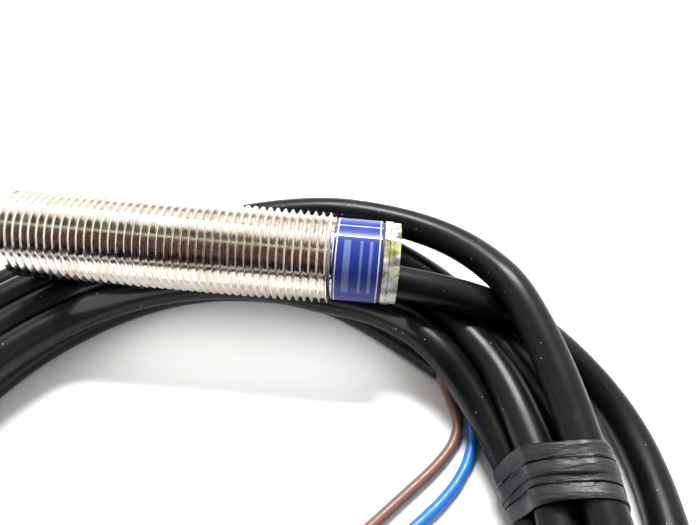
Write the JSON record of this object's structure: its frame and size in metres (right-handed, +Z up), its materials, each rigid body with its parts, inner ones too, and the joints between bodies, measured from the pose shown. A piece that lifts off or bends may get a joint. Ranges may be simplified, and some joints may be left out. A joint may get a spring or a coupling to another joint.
{
  "type": "proximity sensor",
  "caption": "Cylindrical inductive proximity sensor with a fine-threaded metal barrel, wrap label, clear rear cap and its cable wound in tied loops.",
  "frame": {"origin": "centre of the sensing face, on the barrel's axis", "axes": "+X runs back along the barrel from the sensing face to the cable, +Z is up from the surface that the loops lie on"},
  "size_m": [0.0996, 0.094, 0.0202],
  "materials": {
    "nickel": "nickel plated, bright, turned thread",
    "face_plastic": "moulded, fine matt",
    "shield_copper": "rolled copper strip",
    "ferrite": "sintered ferrite, dull",
    "former_plastic": "moulded, natural white",
    "enamelled_copper": "enamelled copper wire",
    "carrier_plastic": "moulded, ivory",
    "board": "glass fibre board with green mask",
    "chip_black": "moulded epoxy",
    "capacitor_orange": "moulded epoxy",
    "ceramic_tan": "fired ceramic",
    "lamp_yellow": "clear yellow lens",
    "solder": "tin solder",
    "resin": "cast amber resin",
    "label_blue": "printed film, gloss",
    "seal_rubber": "moulded rubber",
    "clear_cap": "clear, slightly yellow",
    "cable_black": "extruded, satin",
    "tie_black": "stretched tape, dusty satin",
    "lead_brown": "extruded insulation",
    "lead_blue": "extruded insulation",
    "bare_copper": "twisted fine copper strands"
  },
  "bodies": {
    "root": {"threaded_barrel": "nickel", "front_cap": "face_plastic", "shield_ring": "shield_copper", "ferrite_core": "ferrite", "coil_former": "former_plastic", "sensing_coil": "enamelled_copper", "coil_wires": "enamelled_copper", "board_carrier": "carrier_plastic", "circuit_board": "board", "control_chip": "chip_black", "output_switch": "chip_black", "bridge_rectifier": "chip_black", "surge_suppressor": "chip_black", "smoothing_capacitor": "capacitor_orange", "ceramic_capacitors": "ceramic_tan", "chip_resistors": "chip_black", "status_lamps": "lamp_yellow", "solder_joints": "solder", "brown_inner_lead": "lead_brown", "blue_inner_lead": "lead_blue", "potting_resin": "resin", "label_wrap": "label_blue", "rear_seal": "seal_rubber", "rear_cap": "clear_cap", "cable_inner_end": "cable_black", "cable_lead": "cable_black", "cable_coil": "cable_black", "coil_tie": "tie_black", "brown_lead": "lead_brown", "blue_lead": "lead_blue", "brown_strands": "bare_copper", "blue_strands": "bare_copper"}
  },
  "joints": []
}
